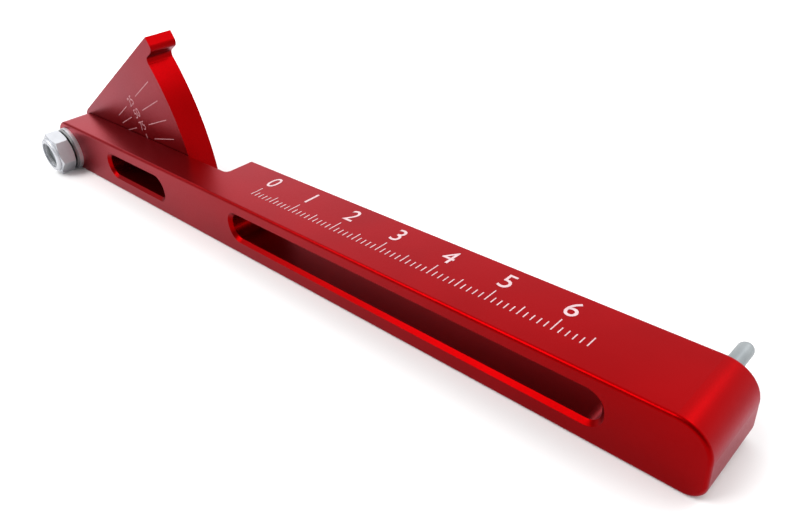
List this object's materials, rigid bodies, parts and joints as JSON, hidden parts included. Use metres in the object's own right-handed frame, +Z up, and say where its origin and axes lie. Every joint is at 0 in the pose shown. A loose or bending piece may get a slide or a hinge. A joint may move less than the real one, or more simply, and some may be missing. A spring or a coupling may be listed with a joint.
{
  "type": "chain wear gauge",
  "caption": "Slim bar gauge with two through slots, a fixed steel pin at one end and a graduated thumb sector with an eccentric measuring pin at the other.",
  "frame": {"origin": "centre of the bar's flat underside", "axes": "+X along the bar to the fixed pin, +Y to the side that both measuring pins stand out of, +Z up"},
  "size_m": [0.1504, 0.027, 0.0323],
  "materials": {
    "red_bar": "satin red anodised, fine bead blast",
    "red_sector": "satin red anodised, whitish engraved scale",
    "turned_steel": "fine turned steel",
    "zinc_steel": "bright zinc plated steel",
    "spring_steel": "plain spring steel",
    "white_nylon": "smooth nylon",
    "insert_nylon": "smooth grey nylon"
  },
  "bodies": {
    "body": {"bar": "red_bar", "fixed_pin": "turned_steel", "slide_washer": "white_nylon", "flat_washer": "zinc_steel", "spring_washer": "spring_steel"},
    "dial": {"sector": "red_sector", "pivot_stud": "turned_steel", "lock_nut": "zinc_steel", "nut_insert": "insert_nylon"}
  },
  "joints": [
    {"name": "sector_turn", "type": "hinge", "parent": "body", "child": "dial", "pos_m": [-0.0702, 0, 0.0047], "axis": [0, -1, 0], "range_deg": [-30, 5]}
  ]
}
